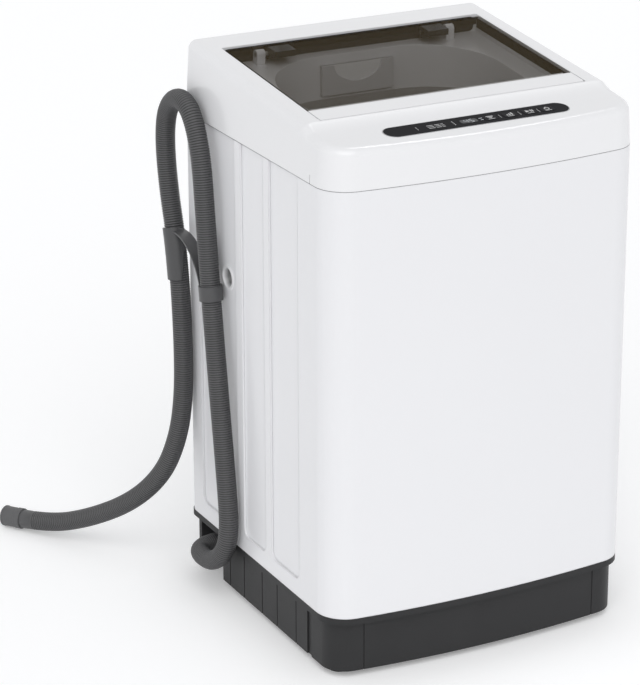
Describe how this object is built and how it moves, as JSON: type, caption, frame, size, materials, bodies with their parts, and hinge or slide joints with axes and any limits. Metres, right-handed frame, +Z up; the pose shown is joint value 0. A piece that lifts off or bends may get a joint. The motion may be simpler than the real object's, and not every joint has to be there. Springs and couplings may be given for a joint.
{
  "type": "top load washing machine",
  "caption": "Compact top load washing machine with a hinged tinted lid, steel basket, pulsator, sprung tub, belt drive, detergent drawer and a ribbed drain hose.",
  "frame": {"origin": "on the floor under the middle of the machine, hose left out", "axes": "+Z up, the front faces -Y, +X to the right as seen from the front"},
  "size_m": [0.6465, 0.6883, 0.7616],
  "materials": {
    "white_enamel": "gloss enamel",
    "grey_sheet": "satin",
    "white_plastic": "gloss",
    "pale_plastic": "satin",
    "base_plastic": "fine grain",
    "foot_rubber": "matt",
    "tinted_plastic": "clear tinted",
    "panel_plastic": "gloss",
    "key_plastic": "satin",
    "black_plastic": "satin",
    "board_green": "satin",
    "steel": "brushed",
    "zinc_steel": "zinc plated",
    "cast_metal": "as cast",
    "motor_iron": "painted",
    "hose_rubber": "satin",
    "cuff_rubber": "satin",
    "hook_plastic": "satin",
    "belt_rubber": "matt"
  },
  "bodies": {
    "frame": {"base": "base_plastic", "feet_rear": "foot_rubber", "cabinet": "white_enamel", "transit_plug": "white_plastic", "rear_cover": "grey_sheet", "rear_cover_screws": "zinc_steel", "cord_gland": "black_plastic", "top_cover": "white_plastic", "control_strip": "panel_plastic", "display_window": "panel_plastic", "control_board": "board_green", "lid_hinge_pins": "zinc_steel", "lid_bumpers": "foot_rubber", "lid_sensor": "black_plastic", "drawer_housing": "pale_plastic", "inlet_valve": "pale_plastic", "inlet_spout": "pale_plastic", "level_sensor": "pale_plastic", "hanger_brackets": "zinc_steel", "suspension_rods": "zinc_steel", "outlet_elbow": "black_plastic", "drain_hose": "hose_rubber", "hose_end_cuff": "cuff_rubber", "hose_hook": "hook_plastic"},
    "tub": {"outer_tub": "pale_plastic", "tub_ring": "pale_plastic", "suspension_cups": "pale_plastic", "suspension_springs": "zinc_steel", "support_plate": "zinc_steel", "gearbox_housing": "cast_metal", "bearings": "zinc_steel", "shaft_seal": "belt_rubber", "drive_bolts": "zinc_steel", "motor": "motor_iron", "drive_belt": "belt_rubber", "drain_valve": "pale_plastic", "drain_bellows": "hose_rubber", "pressure_tube": "hose_rubber"},
    "basket": {"wash_basket": "steel", "balance_ring": "pale_plastic", "basket_base": "pale_plastic", "basket_flange": "cast_metal", "lint_filter": "pale_plastic", "spin_tube": "steel"},
    "agitator": {"pulsator": "pale_plastic", "pulsator_screw": "zinc_steel", "wash_shaft": "steel", "driven_pulley": "cast_metal", "pulley_nut": "zinc_steel"},
    "rotor": {"motor_pulley": "zinc_steel"},
    "lid": {"lid_window": "tinted_plastic", "lid_front_strip": "white_plastic", "lid_hinge_blocks": "black_plastic"},
    "drawer": {"detergent_drawer": "pale_plastic"},
    "program_key": {"key_program": "key_plastic"},
    "water_level_key": {"key_water_level": "key_plastic"},
    "start_pause_key": {"key_start_pause": "key_plastic"},
    "power_key": {"key_power": "key_plastic"},
    "front_left_foot": {"foot_front_left": "foot_rubber"},
    "front_right_foot": {"foot_front_right": "foot_rubber"}
  },
  "joints": [
    {"name": "lid_hinge", "type": "hinge", "parent": "frame", "child": "lid", "pos_m": [0, 0.14988, 0.74574], "axis": [-1, 0, 0], "range_deg": [0, 93]},
    {"name": "tub_float", "type": "slide", "parent": "frame", "child": "tub", "axis": [0, 0, 1], "range_m": [-0.012, 0.008], "stiffness_N_per_m": 12000, "springref_m": 0.01698, "deforming": ["suspension_springs", "drain_bellows", "pressure_tube"]},
    {"name": "basket_spin", "type": "hinge", "parent": "tub", "child": "basket", "pos_m": [0, 0, 0.26], "axis": [0, 0, 1], "continuous": true},
    {"name": "pulsator_spin", "type": "hinge", "parent": "tub", "child": "agitator", "pos_m": [0, 0, 0.28], "axis": [0, 0, 1], "continuous": true},
    {"name": "motor_spin", "type": "hinge", "parent": "tub", "child": "rotor", "pos_m": [0.105, 0.078, 0.107], "axis": [0, 0, 1], "continuous": true},
    {"name": "drawer_slide", "type": "slide", "parent": "frame", "child": "drawer", "axis": [0, -1, 0], "range_m": [0, 0.045]},
    {"name": "program_press", "type": "slide", "parent": "frame", "child": "program_key", "axis": [0, 0.1191, -0.9929], "range_m": [0, 0.0008], "stiffness_N_per_m": 1200, "springref_m": -0.0006},
    {"name": "water_level_press", "type": "slide", "parent": "frame", "child": "water_level_key", "axis": [0, 0.1191, -0.9929], "range_m": [0, 0.0008], "stiffness_N_per_m": 1200, "springref_m": -0.0006},
    {"name": "start_pause_press", "type": "slide", "parent": "frame", "child": "start_pause_key", "axis": [0, 0.1191, -0.9929], "range_m": [0, 0.0008], "stiffness_N_per_m": 1200, "springref_m": -0.0006},
    {"name": "power_press", "type": "slide", "parent": "frame", "child": "power_key", "axis": [0, 0.1191, -0.9929], "range_m": [0, 0.0008], "stiffness_N_per_m": 1200, "springref_m": -0.0006},
    {"name": "front_left_foot_level", "type": "slide", "parent": "frame", "child": "front_left_foot", "axis": [0, 0, -1], "range_m": [0, 0.012]},
    {"name": "front_right_foot_level", "type": "slide", "parent": "frame", "child": "front_right_foot", "axis": [0, 0, -1], "range_m": [0, 0.012]}
  ],
  "couplings": [
    {"joint": "motor_spin", "follows": "pulsator_spin", "ratio": 3.6082}
  ]
}
